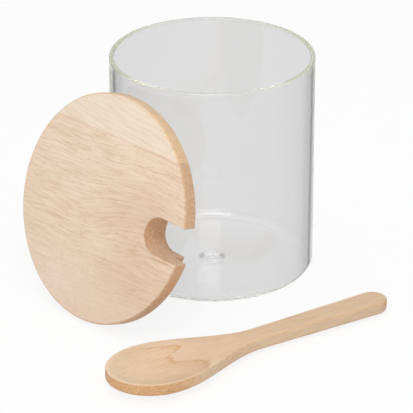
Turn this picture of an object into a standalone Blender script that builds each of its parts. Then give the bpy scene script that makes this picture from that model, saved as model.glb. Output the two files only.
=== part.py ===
"""Glass sugar bowl: a straight glass jar, a notched two-board wooden lid and a wooden spoon.

The jar stands on the table with its axis on Z and its foot at Z = 0. The lid leans on the jar's
side with its top face outwards, and the spoon lies in front. Metres, +Z up.
"""
import math

import bmesh
import bpy

# Glass jar
JAR_RADIUS = 0.050
JAR_HEIGHT = 0.1108
JAR_WALL = 0.0022
JAR_BASE = 0.0024
JAR_OUTER_CORNER = 0.005
JAR_INNER_CORNER = 0.0032
PIP_RADIUS = 0.0055
PIP_HEIGHT = 0.0016

# Wooden lid, measured down from its top face
LID_OVERHANG = 0.0052
LID_FLANGE = 0.0074
PLUG_DEPTH = 0.0068
PLUG_CLEARANCE = 0.0006
LID_EASE = 0.0012
NOTCH_WIDTH = 0.0179
NOTCH_DEPTH = 0.0248
NOTCH_ANGLE = math.radians(-1.75)
NOTCH_TILT = math.radians(4.7)
UPPER_BOARD_WIDTH = 0.0195

# Where the lid stands: leaning back on the jar, turned about Z and moved along its own width
LID_LEAN = math.radians(17.0)
LID_TURN = math.radians(-46.1)
LID_SHIFT = 0.005

# Wooden spoon, measured along its length from the bowl's tip
SPOON_LENGTH = 0.1563
BOWL_WIDTH = 0.0418
BOWL_WIDEST = 0.025
BOWL_HEIGHT = 0.0092
BOWL_EDGE = 0.0042
NECK_START = 0.0815
NECK_WIDTH = 0.0112
HANDLE_WIDTH = 0.0145
HANDLE_THICKNESS = 0.0075
HANDLE_SIDE = 0.0049
HANDLE_CORNER = 0.007
SPOON_EASE = 0.0005
DISH_RIM = 0.0016
DISH_END = 0.051
DISH_DEPTH = 0.0044

# Where the spoon lies: the tip's place on the table and the way its handle points
SPOON_TIP_X = -0.0461
SPOON_TIP_Y = -0.1421
SPOON_TURN = math.radians(34.5)

# Clearances between pieces that touch
CONTACT_GAP = 0.0003
GLUE_GAP = 0.0003

# Mesh fineness
JAR_SEGMENTS = 72
LID_SEGMENTS = 96
ARC_STEPS = 6
NOTCH_STEPS = 16
SPOON_TIP_STEPS = 10
SPOON_BODY_STEPS = 26
SPOON_END_STEPS = 6
SPOON_UNDER_STEPS = 14
DISH_SEGMENTS = 48
MERGE_DISTANCE = 1e-6
SMOOTH_ANGLE = math.radians(35.0)

# Sizes that follow from the ones above
JAR_INNER_RADIUS = JAR_RADIUS - JAR_WALL
LID_RADIUS = JAR_RADIUS + LID_OVERHANG
LID_THICKNESS = LID_FLANGE + PLUG_DEPTH
PLUG_RADIUS = JAR_INNER_RADIUS - PLUG_CLEARANCE
GLUE_LINE = LID_RADIUS - UPPER_BOARD_WIDTH


def clear_scene():
    for existing in list(bpy.data.objects):
        bpy.data.objects.remove(existing, do_unlink=True)


def make_material(name, colour, roughness, transmission=0.0):
    material = bpy.data.materials.new(name)
    material.use_nodes = True
    shader = material.node_tree.nodes["Principled BSDF"]
    shader.inputs["Base Color"].default_value = (*colour, 1.0)
    shader.inputs["Roughness"].default_value = roughness
    shader.inputs["Metallic"].default_value = 0.0
    shader.inputs["Transmission Weight"].default_value = transmission
    material.diffuse_color = (*colour, 1.0)
    return material


def glass_material():
    return make_material("clear_glass", (0.93, 0.96, 0.94), 0.02, transmission=1.0)


def pale_wood_material():
    return make_material("cream_wood", (0.83, 0.66, 0.47), 0.6)


def pink_wood_material():
    return make_material("pink_wood", (0.78, 0.57, 0.40), 0.6)


def spoon_wood_material():
    return make_material("spoon_wood", (0.82, 0.63, 0.42), 0.55)


def add_object(name, mesh_source, material):
    """Turn a finished bmesh into a smooth-shaded object with one material."""
    bmesh.ops.recalc_face_normals(mesh_source, faces=mesh_source.faces)
    mesh = bpy.data.meshes.new(name)
    mesh_source.to_mesh(mesh)
    mesh_source.free()
    mesh.shade_smooth()
    mesh.set_sharp_from_angle(angle=SMOOTH_ANGLE)
    mesh.materials.append(material)
    piece = bpy.data.objects.new(name, mesh)
    bpy.context.scene.collection.objects.link(piece)
    return piece


def add_cutter(name, mesh_source, target):
    """Cut a closed shape out of a piece and keep the shape as a hidden guide."""
    bmesh.ops.recalc_face_normals(mesh_source, faces=mesh_source.faces)
    mesh = bpy.data.meshes.new(name)
    mesh_source.to_mesh(mesh)
    mesh_source.free()
    cutter = bpy.data.objects.new(name, mesh)
    cutter.hide_render = True
    cutter.display_type = "WIRE"
    bpy.context.scene.collection.objects.link(cutter)
    cut = target.modifiers.new(name, "BOOLEAN")
    cut.operation = "DIFFERENCE"
    cut.solver = "EXACT"
    cut.object = cutter
    return cutter


def arc(centre_r, centre_z, radius, start_deg, end_deg, steps=ARC_STEPS):
    """Points of an arc in the profile plane, both ends included."""
    points = []
    for step in range(steps + 1):
        angle = math.radians(start_deg + (end_deg - start_deg) * step / steps)
        points.append((centre_r + radius * math.cos(angle), centre_z + radius * math.sin(angle)))
    return points


def turn_profile(profile, segments):
    """Spin an open profile, which starts and ends on the Z axis, into a closed round body."""
    body = bmesh.new()
    verts = [body.verts.new((radius, 0.0, height)) for radius, height in profile]
    edges = [body.edges.new(pair) for pair in zip(verts, verts[1:])]
    bmesh.ops.spin(
        body,
        geom=verts + edges,
        cent=(0.0, 0.0, 0.0),
        axis=(0.0, 0.0, 1.0),
        angle=2.0 * math.pi,
        steps=segments,
        use_merge=True,
    )
    bmesh.ops.remove_doubles(body, verts=body.verts, dist=MERGE_DISTANCE)
    return body


def jar_profile():
    """From the centre of the foot, up the outside, over the lip and down the inside to the pip."""
    lip = JAR_WALL / 2.0
    foot_radius = JAR_RADIUS - JAR_OUTER_CORNER
    floor_radius = JAR_INNER_RADIUS - JAR_INNER_CORNER
    pip_sphere = (PIP_RADIUS ** 2 + PIP_HEIGHT ** 2) / (2.0 * PIP_HEIGHT)
    pip_half_angle = math.degrees(math.asin(PIP_RADIUS / pip_sphere))
    pip_centre = JAR_BASE + PIP_HEIGHT - pip_sphere
    points = [(0.0, 0.0)]
    points += arc(foot_radius, JAR_OUTER_CORNER, JAR_OUTER_CORNER, -90.0, 0.0)
    points += arc(JAR_RADIUS - lip, JAR_HEIGHT - lip, lip, 0.0, 180.0)
    points += arc(floor_radius, JAR_BASE + JAR_INNER_CORNER, JAR_INNER_CORNER, 0.0, -90.0)
    points += arc(0.0, pip_centre, pip_sphere, 90.0 - pip_half_angle, 90.0)
    return points


def build_jar():
    return add_object("glass_jar", turn_profile(jar_profile(), JAR_SEGMENTS), glass_material())


def lid_profile():
    """From the centre of the top face, round the flange and the plug to the centre of the underside."""
    rim = LID_RADIUS - LID_EASE
    plug_rim = PLUG_RADIUS - LID_EASE
    points = [(0.0, 0.0)]
    points += arc(rim, -LID_EASE, LID_EASE, 90.0, 0.0)
    points += arc(rim, LID_EASE - LID_FLANGE, LID_EASE, 0.0, -90.0)
    points += [(PLUG_RADIUS, -LID_FLANGE)]
    points += arc(plug_rim, LID_EASE - LID_THICKNESS, LID_EASE, 0.0, -90.0)
    points += [(0.0, -LID_THICKNESS)]
    return points


def lid_board(name, material, cut_line, is_upper):
    """One board of the lid: the part of the turned blank on one side of the glue line."""
    blank = turn_profile(lid_profile(), LID_SEGMENTS)
    everything = blank.verts[:] + blank.edges[:] + blank.faces[:]
    bmesh.ops.bisect_plane(
        blank,
        geom=everything,
        dist=MERGE_DISTANCE,
        plane_co=(0.0, cut_line, 0.0),
        plane_no=(0.0, 1.0, 0.0),
        clear_inner=is_upper,
        clear_outer=not is_upper,
    )
    open_edges = [edge for edge in blank.edges if edge.is_boundary]
    bmesh.ops.contextual_create(blank, geom=open_edges)
    return add_object(name, blank, material)


def notch_shape():
    """A U-shaped prism: round at its inner end, open past the lid's rim and past both faces.

    It is cut at a slight tilt, so that its walls rise towards the plug.
    """
    half = NOTCH_WIDTH / 2.0
    round_centre = LID_RADIUS - NOTCH_DEPTH + half
    outline = [(LID_RADIUS + NOTCH_WIDTH, half)]
    outline += arc(round_centre, 0.0, half, 90.0, 270.0, NOTCH_STEPS)
    outline += [(LID_RADIUS + NOTCH_WIDTH, -half)]
    prism = bmesh.new()
    base = prism.faces.new([prism.verts.new((x, y, LID_FLANGE)) for x, y in outline])
    grown = bmesh.ops.extrude_face_region(prism, geom=[base])
    moved = [item for item in grown["geom"] if isinstance(item, bmesh.types.BMVert)]
    drop = -(2.0 * LID_FLANGE + LID_THICKNESS)
    bmesh.ops.translate(prism, verts=moved, vec=(0.0, 0.0, drop))
    return prism


def lean_reach(depth, radius, centre_height):
    """How far a back edge of the leaning lid stands behind the lid's centre where it meets the jar."""
    top_of_wall = JAR_HEIGHT - JAR_WALL
    along_face = (top_of_wall - centre_height + depth * math.sin(LID_LEAN)) / math.cos(LID_LEAN)
    return depth * math.cos(LID_LEAN) + min(radius, along_face) * math.sin(LID_LEAN)


def lid_place():
    """Centre of the top face: flange on the table, plug or flange against the jar's wall."""
    corner_up = (LID_RADIUS - LID_EASE) * math.cos(LID_LEAN)
    corner_back = (LID_FLANGE - LID_EASE) * math.sin(LID_LEAN)
    height = corner_up + corner_back + LID_EASE + CONTACT_GAP
    plug_reach = lean_reach(LID_THICKNESS, PLUG_RADIUS, height)
    flange_reach = lean_reach(LID_FLANGE, LID_RADIUS, height)
    away = JAR_RADIUS + CONTACT_GAP + max(plug_reach, flange_reach)
    x = away * math.sin(LID_TURN) + LID_SHIFT * math.cos(LID_TURN)
    y = -away * math.cos(LID_TURN) + LID_SHIFT * math.sin(LID_TURN)
    return (x, y, height)


def build_lid():
    """Both boards hang on one empty at the middle of the lid's top face."""
    lid = bpy.data.objects.new("lid_place", None)
    bpy.context.scene.collection.objects.link(lid)
    lid.location = lid_place()
    lid.rotation_euler = (math.pi / 2.0 - LID_LEAN, 0.0, LID_TURN)
    half_gap = GLUE_GAP / 2.0
    upper = lid_board("lid_upper_board", pale_wood_material(), GLUE_LINE + half_gap, True)
    main = lid_board("lid_main_board", pink_wood_material(), GLUE_LINE - half_gap, False)
    notch = add_cutter("notch_cutter", notch_shape(), main)
    notch.rotation_euler = (NOTCH_TILT, 0.0, NOTCH_ANGLE)
    for piece in (upper, main, notch):
        piece.parent = lid
    return lid


def smooth_step(start, end, value):
    share = min(max((value - start) / (end - start), 0.0), 1.0)
    return share * share * (3.0 - 2.0 * share)


def quarter_round(reach, distance):
    """Rises from 0 at distance 0 to 1 at the reach, as a quarter of an ellipse does."""
    short = max(1.0 - distance / reach, 0.0)
    return math.sqrt(1.0 - short * short)


def spoon_half_width(x):
    """Oval bowl, slim neck, and a handle that widens to an end with rounded corners."""
    if x <= BOWL_WIDEST:
        return BOWL_WIDTH / 2.0 * quarter_round(BOWL_WIDEST, x)
    handle_share = max(x - NECK_START, 0.0) / (SPOON_LENGTH - NECK_START)
    handle = (NECK_WIDTH + (HANDLE_WIDTH - NECK_WIDTH) * handle_share) / 2.0
    to_neck = smooth_step(BOWL_WIDEST, NECK_START, x)
    width = BOWL_WIDTH / 2.0 * (1.0 - to_neck) + handle * to_neck
    past_corner = x - (SPOON_LENGTH - HANDLE_CORNER)
    if past_corner > 0.0:
        width -= HANDLE_CORNER - math.sqrt(max(HANDLE_CORNER ** 2 - past_corner ** 2, 0.0))
    return width


def spoon_depths(x):
    """Side height and full depth of the section at x, below the spoon's top plane."""
    to_neck = smooth_step(BOWL_WIDEST, NECK_START, x)
    side = BOWL_EDGE * (1.0 - to_neck) + HANDLE_SIDE * to_neck
    depth = BOWL_HEIGHT * (1.0 - to_neck) + HANDLE_THICKNESS * to_neck
    if x < BOWL_WIDEST:
        depth = BOWL_EDGE + (BOWL_HEIGHT - BOWL_EDGE) * quarter_round(BOWL_WIDEST, x)
    return side, depth


def spoon_section(x):
    """One ring of points round the spoon: flat top, eased edges, straight sides, round underside."""
    half = spoon_half_width(x)
    side, depth = spoon_depths(x)
    ease = min(SPOON_EASE, half / 2.0)
    ring = [(x, ease - half, 0.0), (x, half - ease, 0.0), (x, half, -ease)]
    for step in range(SPOON_UNDER_STEPS + 1):
        angle = math.pi * step / SPOON_UNDER_STEPS
        drop = side + (depth - side) * math.sin(angle)
        ring.append((x, half * math.cos(angle), -drop))
    ring.append((x, -half, -ease))
    return ring


def spoon_stations():
    """Places along the spoon, packed closer where the tip and the handle's corners turn."""
    places = []
    for step in range(1, SPOON_TIP_STEPS + 1):
        places.append(BOWL_WIDEST * (1.0 - math.cos(math.pi / 2.0 * step / SPOON_TIP_STEPS)))
    corner = SPOON_LENGTH - HANDLE_CORNER
    for step in range(1, SPOON_BODY_STEPS + 1):
        places.append(BOWL_WIDEST + (corner - BOWL_WIDEST) * step / SPOON_BODY_STEPS)
    for step in range(1, SPOON_END_STEPS + 1):
        places.append(corner + HANDLE_CORNER * math.sin(math.pi / 2.0 * step / SPOON_END_STEPS))
    return places


def spoon_body():
    """Skin the sections into one closed body, with a flat cap at each end."""
    body = bmesh.new()
    rings = [[body.verts.new(point) for point in spoon_section(x)] for x in spoon_stations()]
    for ring, following in zip(rings, rings[1:]):
        for index in range(len(ring)):
            after = (index + 1) % len(ring)
            body.faces.new((ring[index], ring[after], following[after], following[index]))
    body.faces.new(rings[0])
    body.faces.new(rings[-1])
    return body


def dish_shape():
    """A ball, stretched along the spoon, that scoops the bowl's oval dish out of the top plane."""
    half_width = BOWL_WIDTH / 2.0 - DISH_RIM
    half_length = (DISH_END - DISH_RIM) / 2.0
    ball_radius = (half_width ** 2 + DISH_DEPTH ** 2) / (2.0 * DISH_DEPTH)
    ball = bmesh.new()
    bmesh.ops.create_uvsphere(ball, u_segments=DISH_SEGMENTS, v_segments=DISH_SEGMENTS, radius=ball_radius)
    bmesh.ops.scale(ball, vec=(half_length / half_width, 1.0, 1.0), verts=ball.verts)
    lift = ball_radius - DISH_DEPTH
    bmesh.ops.translate(ball, vec=(DISH_RIM + half_length, 0.0, lift), verts=ball.verts)
    return ball


def build_spoon():
    """The spoon rests on its bowl and on the underside of the handle's end."""
    spoon = add_object("wooden_spoon", spoon_body(), spoon_wood_material())
    dish = add_cutter("dish_cutter", dish_shape(), spoon)
    dish.parent = spoon
    rest_span = SPOON_LENGTH - HANDLE_CORNER - BOWL_WIDEST
    pitch = math.atan2(BOWL_HEIGHT - HANDLE_THICKNESS, rest_span)
    height = BOWL_WIDEST * math.sin(pitch) + BOWL_HEIGHT * math.cos(pitch) + CONTACT_GAP
    spoon.location = (SPOON_TIP_X, SPOON_TIP_Y, height)
    spoon.rotation_euler = (0.0, pitch, SPOON_TURN)
    return spoon


def main():
    clear_scene()
    build_jar()
    build_lid()
    build_spoon()


main()
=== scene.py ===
import math

import bmesh
import bpy
import numpy as np
from mathutils import Euler, Matrix, Vector


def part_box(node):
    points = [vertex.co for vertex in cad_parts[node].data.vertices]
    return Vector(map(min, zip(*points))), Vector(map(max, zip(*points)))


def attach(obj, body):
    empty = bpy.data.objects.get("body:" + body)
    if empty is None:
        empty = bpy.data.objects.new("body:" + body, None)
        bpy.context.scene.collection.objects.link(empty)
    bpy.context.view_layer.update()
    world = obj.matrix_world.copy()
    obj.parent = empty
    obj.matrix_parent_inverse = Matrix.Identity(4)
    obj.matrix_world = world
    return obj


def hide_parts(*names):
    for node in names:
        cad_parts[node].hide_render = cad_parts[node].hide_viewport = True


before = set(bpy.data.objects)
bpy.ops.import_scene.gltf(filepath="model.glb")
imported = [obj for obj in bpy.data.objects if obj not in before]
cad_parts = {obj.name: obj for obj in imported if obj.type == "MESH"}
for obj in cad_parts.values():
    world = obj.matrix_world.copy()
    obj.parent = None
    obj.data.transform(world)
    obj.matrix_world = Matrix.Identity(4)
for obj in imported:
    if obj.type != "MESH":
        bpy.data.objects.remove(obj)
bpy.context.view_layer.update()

bl_info = {
    "name": "Glass Sugar Bowl",
    "version": (1, 0, 0),
    "blender": (4, 5, 0),
    "location": "3D View > Sidebar > Sugar Bowl",
    "description": "Clear glass jar, notched wooden lid and wooden spoon in a plain studio",
    "category": "Object",
}

JAR_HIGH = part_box("glass_jar")[1]
MM = 0.001
FLOOR_GAP = 0.0002
FEWEST_STEPS = 24

# Photograph frame and lens
IMAGE_SIDE = 413
SENSOR = 36.0
FOCAL_PIXELS = 3028.8


# Sizes and colours that a user would change

def length(name, description, default):
    return bpy.props.FloatProperty(
        name=name, description=description, default=default, unit="LENGTH", precision=5, min=0.0
    )


def place(name, description, default):
    return bpy.props.FloatProperty(
        name=name, description=description, default=default, unit="LENGTH", precision=5
    )


def amount(name, description, default, **limits):
    return bpy.props.FloatProperty(
        name=name, description=description, default=default, min=0.0, **limits
    )


def step_count(name, description, default):
    return bpy.props.IntProperty(
        name=name, description=description, default=default, min=FEWEST_STEPS
    )


def angle(name, description, degrees):
    return bpy.props.FloatProperty(
        name=name, description=description, default=math.radians(degrees), subtype="ANGLE"
    )


def colour(name, description, default):
    return bpy.props.FloatVectorProperty(
        name=name, description=description, default=default, subtype="COLOR", size=3, min=0.0, max=1.0
    )


class SugarBowlJar(bpy.types.PropertyGroup):
    """Sizes and glass of the jar."""

    radius: length("Radius", "Outside radius of the wall", JAR_HIGH[0])
    height: length("Height", "Foot to lip", JAR_HIGH[2])
    wall: length("Wall", "Thickness of the wall", 0.0022)
    base: length("Base", "Thickness of the base", 0.0024)
    outer_corner: length("Outer Corner", "Round between wall and foot", 0.005)
    inner_corner: length("Inner Corner", "Round between inner wall and floor", 0.0032)
    pip_radius: length("Pip Radius", "Raised centre of the floor", 0.0055)
    pip_height: length("Pip Height", "Rise of the floor's centre", 0.0016)
    segments: step_count("Segments", "Steps round the jar", 384)
    bead: length("Bead", "Thickness of the fire-polished lip", 0.0024)
    tint: colour("Tint", "What a wall lets through", (0.985, 0.985, 0.985))
    # Painted shade: the dark colour that the glass takes where its surface turns from the viewer
    painted_edge_shade: colour("Edge Tint", "What a wall lets through at a slant", (0.06, 0.062, 0.064))
    lip_tint: colour("Lip Tint", "Colour of the lip at both sides", (0.80, 0.83, 0.64))
    lip_grey: colour("Lip Grey", "Colour of the lip at the front and back", (0.69, 0.69, 0.665))
    lip_milk: amount("Lip Milk", "Share of light that the lip scatters", 0.55, max=1.0)
    depth_tint: colour("Depth Tint", "Colour that long paths in the glass take on", (0.66, 0.70, 0.5))
    depth_density: amount("Depth Density", "Absorption per metre of glass", 0.8)
    ripple: amount("Ripple", "Strength of the upright ripples", 0.12)
    haze: amount("Haze", "Largest roughness of the glass", 0.01)


class SugarBowlLid(bpy.types.PropertyGroup):
    """Sizes, place and wood of the lid."""

    overhang: length("Overhang", "How far the flange stands past the jar", 0.0052)
    flange: length("Flange", "Thickness of the flange", 0.0074)
    plug: length("Plug", "Depth of the plug under the flange", 0.0068)
    clearance: length("Clearance", "Plug to jar wall, on the radius", 0.0006)
    ease: length("Ease", "Rounding of the turned edges", 0.0012)
    notch_width: length("Notch Width", "Width of the spoon notch", 0.0179)
    notch_depth: length("Notch Depth", "Rim to the bottom of the notch", 0.0248)
    notch_angle: angle("Notch Angle", "Turn of the notch about the lid's axis", -1.75)
    notch_tilt: angle("Notch Tilt", "Rise of the notch's walls towards the plug", 4.7)
    notch_ease: length("Notch Ease", "Rounding of the notch's edges", 0.0005)
    upper_width: length("Upper Board", "Width of the upper board at its middle", 0.0195)
    lean: angle("Lean", "Angle between the lid and the vertical", 17.0)
    turn: angle("Turn", "Turn of the lid about the vertical", -46.1)
    shift: place("Shift", "Offset of the lid along its own width", 0.005)
    rest_gap: length("Rest Gap", "Gap to the table and to the jar", 0.0003)
    glue: length("Glue Line", "Gap between the boards", 0.00003)
    segments: step_count("Segments", "Steps round the lid", 240)
    cream: colour("Upper Board", "Colour of the upper board", (0.835, 0.70, 0.56))
    pink: colour("Main Board", "Colour of the main board", (0.815, 0.64, 0.49))


class SugarBowlSpoon(bpy.types.PropertyGroup):
    """Sizes, place and wood of the spoon."""

    spoon_length: length("Length", "Tip of the bowl to the end of the handle", 0.1563)
    bowl_width: length("Bowl Width", "Widest part of the bowl", 0.0418)
    bowl_widest: length("Bowl Widest", "Tip to the widest part", 0.025)
    bowl_height: length("Bowl Height", "Full depth of the bowl", 0.0092)
    bowl_edge: length("Bowl Edge", "Height of the bowl's straight side", 0.0042)
    neck_start: length("Neck Start", "Tip to the slimmest part", 0.0815)
    neck_width: length("Neck Width", "Width of the neck", 0.0112)
    handle_width: length("Handle Width", "Width at the handle's end", 0.0145)
    handle_thickness: length("Handle Thickness", "Thickness of the handle", 0.0075)
    handle_side: length("Handle Side", "Height of the handle's straight side", 0.0049)
    handle_corner: length("Handle Corner", "Rounding of the end in plan", 0.007)
    end_round: length("End Round", "Rounding of the end, seen from the side", 0.001)
    end_rise: amount("End Rise", "Share of the thickness that the end's underside loses", 0.5, max=1.0)
    bowl_ease: length("Bowl Ease", "Rounding of the bowl's top edge", 0.0005)
    handle_ease: length("Handle Ease", "Rounding of the handle's top edges", 0.0012)
    dish_rim: length("Dish Rim", "Width of the rim round the dish", 0.0016)
    dish_end: length("Dish End", "Tip to the far end of the dish", 0.051)
    dish_depth: length("Dish Depth", "Depth of the dish", 0.0044)
    tip_x: place("Tip X", "Place of the bowl's tip on the table", -0.0461)
    tip_y: place("Tip Y", "Place of the bowl's tip on the table", -0.1421)
    turn: angle("Turn", "Way the handle points", 34.5)
    rest_gap: length("Rest Gap", "Gap to the table", 0.0003)
    honey: colour("Wood", "Colour of the wood", (0.825, 0.60, 0.405))


class SugarBowlStage(bpy.types.PropertyGroup):
    """Floor, light and camera."""

    floor_side: length("Floor", "Side of the square floor", 8.0)
    fill: amount("Fill", "Strength of the light from all round", 0.62)
    key: amount("Key", "Power of the large lamp above the front", 12.0, unit="POWER")
    front: amount("Front", "Power of the low lamp in front", 3.0, unit="POWER")
    strip: amount("Strip", "Power of the narrow lamp behind", 0.022, unit="POWER")
    glow: amount("Glow", "Share of the floor's white that shadows leave alone", 0.86, max=1.0)
    through: amount("Through Glass", "Level of the surroundings as glass shows them", 0.742)
    camera_distance: length("Camera Distance", "Camera to the point that it looks at", 1.5)
    camera_height: angle("Camera Angle", "Height of the camera above the horizon", 25.018)
    aim_x: place("Aim X", "Point that the camera looks at", -0.00275)
    aim_z: place("Aim Z", "Point that the camera looks at", 0.0293)


# Small helpers for meshes and node trees

def new_object(name, mesh):
    piece = bpy.data.objects.new(name, mesh)
    bpy.context.scene.collection.objects.link(piece)
    return piece


def finish_mesh(mesh, material, sharp_degrees):
    mesh.shade_smooth()
    mesh.set_sharp_from_angle(angle=math.radians(sharp_degrees))
    mesh.materials.clear()
    mesh.materials.append(material)


def bake_modifiers(piece):
    """Replace a piece's mesh with the result of its modifiers and drop them."""
    graph = bpy.context.evaluated_depsgraph_get()
    baked = bpy.data.meshes.new_from_object(piece.evaluated_get(graph), depsgraph=graph)
    piece.modifiers.clear()
    piece.data = baked
    return baked


def arc(centre, radius, start_deg, end_deg, steps):
    """Points of an arc in a plane, both ends included."""
    turns = np.radians(np.linspace(start_deg, end_deg, steps + 1))
    return [(centre[0] + radius * math.cos(t), centre[1] + radius * math.sin(t)) for t in turns]


def add_node(tree, kind, label=None, **settings):
    node = tree.nodes.new(kind)
    if label:
        node.label = label
    for key, value in settings.items():
        if key in node.inputs:
            node.inputs[key].default_value = value
        else:
            setattr(node, key, value)
    return node


def math_node(tree, operation, first, second=None, third=None, clamp=False):
    """A Math node whose inputs are sockets or numbers. Returns its output socket."""
    node = tree.nodes.new("ShaderNodeMath")
    node.operation = operation
    node.use_clamp = clamp
    for socket, value in zip(node.inputs, (first, second, third)):
        if value is None:
            continue
        if isinstance(value, bpy.types.NodeSocket):
            tree.links.new(value, socket)
        else:
            socket.default_value = value
    return node.outputs[0]


def mix_colour(tree, factor, first, second, blend="MIX"):
    """A colour Mix node whose inputs are sockets or values. Returns its output socket."""
    node = tree.nodes.new("ShaderNodeMix")
    node.data_type = "RGBA"
    node.blend_type = blend
    for index, value in ((0, factor), (6, first), (7, second)):
        if isinstance(value, bpy.types.NodeSocket):
            tree.links.new(value, node.inputs[index])
        elif index:
            node.inputs[index].default_value = (*value, 1.0)
        else:
            node.inputs[index].default_value = value
    return node.outputs[2]


def ramp(tree, value, stops):
    """A Color Ramp with linear steps, given as (position, level) pairs. A level is a grey or a colour."""
    node = tree.nodes.new("ShaderNodeValToRGB")
    node.color_ramp.elements[0].position = stops[0][0]
    node.color_ramp.elements[1].position = stops[-1][0]
    for position, _level in stops[1:-1]:
        node.color_ramp.elements.new(position)
    for element, (_position, level) in zip(node.color_ramp.elements, stops):
        element.color = (*level, 1.0) if isinstance(level, tuple) else (level, level, level, 1.0)
    tree.links.new(value, node.inputs[0])
    return node.outputs[0]


# Turned pieces

LATHE_ARM = 0.1
WELD = 2e-6
LATHE_INPUTS = (
    ("Profile", "NodeSocketGeometry"), ("Segments", "NodeSocketInt"), ("Arm", "NodeSocketFloat"),
    ("Weld", "NodeSocketFloat"), ("Material", "NodeSocketMaterial"),
)


def turned_tree():
    """Geometry nodes that spin a profile round the Z axis and weld its ends on the axis."""
    tree = bpy.data.node_groups.new("turned_on_lathe", "GeometryNodeTree")
    for name, kind in LATHE_INPUTS:
        tree.interface.new_socket(name, in_out="INPUT", socket_type=kind)
    tree.interface.new_socket("Body", in_out="OUTPUT", socket_type="NodeSocketGeometry")
    start = tree.nodes.new("NodeGroupInput")
    end = tree.nodes.new("NodeGroupOutput")
    profile = tree.nodes.new("GeometryNodeMeshToCurve")
    path = tree.nodes.new("GeometryNodeCurvePrimitiveCircle")
    sweep = tree.nodes.new("GeometryNodeCurveToMesh")
    weld = tree.nodes.new("GeometryNodeMergeByDistance")
    paint = tree.nodes.new("GeometryNodeSetMaterial")
    real = tree.nodes.new("GeometryNodeRealizeInstances")
    links = (
        (start, "Profile", profile, "Mesh"), (start, "Segments", path, "Resolution"),
        (start, "Arm", path, "Radius"), (path, "Curve", sweep, "Curve"),
        (profile, "Curve", sweep, "Profile Curve"), (sweep, "Mesh", weld, "Geometry"),
        (start, "Weld", weld, "Distance"), (weld, "Geometry", real, "Geometry"),
        (real, "Geometry", paint, "Geometry"), (start, "Material", paint, "Material"),
        (paint, "Geometry", end, "Body"),
    )
    for source, output, target, socket in links:
        tree.links.new(source.outputs[output], target.inputs[socket])
    return tree


def turned_mesh(name, profile, segments, material):
    """Spin (radius, height) points round Z. Points on the axis close the body there."""
    line = bpy.data.meshes.new(name)
    points = [(radius - LATHE_ARM, -height, 0.0) for radius, height in profile]
    line.from_pydata(points, [(i, i + 1) for i in range(len(points) - 1)], [])
    piece = new_object(name, line)
    lathe = piece.modifiers.new("lathe", "NODES")
    lathe.node_group = turned_tree()
    values = {"Segments": segments, "Arm": LATHE_ARM, "Weld": WELD, "Material": material}
    for item in lathe.node_group.interface.items_tree:
        if item.name in values:
            lathe[item.identifier] = values[item.name]
    bake_modifiers(piece)
    outward(piece.data)
    return piece


def face_out(body):
    """Point every face of a body outwards."""
    bmesh.ops.recalc_face_normals(body, faces=body.faces)
    if body.calc_volume(signed=True) < 0.0:
        bmesh.ops.reverse_faces(body, faces=body.faces)


def open_edges(body):
    return [edge for edge in body.edges if edge.is_boundary]


def outward(mesh, fill_holes=False):
    """Point every face of a mesh outwards, with its holes closed first where that is asked for."""
    body = bmesh.new()
    body.from_mesh(mesh)
    if fill_holes:
        bmesh.ops.holes_fill(body, edges=open_edges(body), sides=0)
    face_out(body)
    body.to_mesh(mesh)
    body.free()


def closed_mesh(name, body):
    """A new mesh from a closed body, which is freed."""
    face_out(body)
    mesh = bpy.data.meshes.new(name)
    body.to_mesh(mesh)
    body.free()
    return mesh


# Glass jar

GLASS_IOR = 1.47
GLASS_SHADOW = (0.93, 0.935, 0.93, 1.0)
RIPPLE_SCALE = (260.0, 260.0, 6.0)
BUMP_DEPTH = 0.0001
JAR_SHARP = 60.0

# Painted shade at the glass's edges: how much of the clear tint is left as the surface turns from the
# viewer, and how that leans along X
SLANT_SHADE_STOPS = (
    (0.0, 1.0), (0.25, 0.94), (0.45, 0.85), (0.51, 0.78), (0.55, 0.69), (0.60, 0.52), (0.64, 0.44),
    (0.68, 0.40), (0.725, 0.0), (0.757, 0.0), (0.81, 0.6), (0.86, 1.0),
)
SLANT_SHADE_LEAN = -0.65

# Where the foot stays clear of the painted edge shade, in outer corners, and how the lip's colour fades, in
# beads and in radii
FOOT_SPAN = 2.0
FOOT_STOPS = ((0.15, 1.0), (0.5, 0.0))
LIP_STOPS = ((0.1, 1.0), (0.5, 0.2), (1.0, 0.0))
LIP_SIDES = ((0.3, 0.0), (0.9, 1.0))

# The pip's shoulder, in pip diameters, its two ends along X, and how dark they are
PIP_RING = ((0.34, 0.0), (0.42, 1.0), (0.54, 1.0), (0.62, 0.0))
PIP_ENDS = ((0.80, 0.0), (0.96, 1.0))
PIP_DARK = 0.62

# Steps along the jar's rounds, the length of the lip's swell in beads, and the pip in shares of its radius
CORNER_STEPS = 24
SWELL_STEPS = 8
SWELL_LENGTH = 1.5
PIP_STEPS = 16
PIP_REACH = 1.6
PIP_FLAT = 0.6
PIP_SHOULDER = 0.6


def pip_shade(tree, split, across, sizes):
    """1 all over the jar, low at both ends of the pip's shoulder, where the glass bends light away."""
    shoulder = ramp(tree, math_node(tree, "DIVIDE", across, 2.0 * sizes.pip_radius), PIP_RING)
    ends = math_node(tree, "DIVIDE", math_node(tree, "ABSOLUTE", split.outputs[0]), across)
    ends = ramp(tree, ends, PIP_ENDS)
    inside = math_node(tree, "GREATER_THAN", split.outputs[2], sizes.base / 2.0)
    dark = math_node(tree, "MULTIPLY", math_node(tree, "MULTIPLY", shoulder, ends), inside)
    return math_node(tree, "MULTIPLY_ADD", dark, -PIP_DARK, 1.0)


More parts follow.
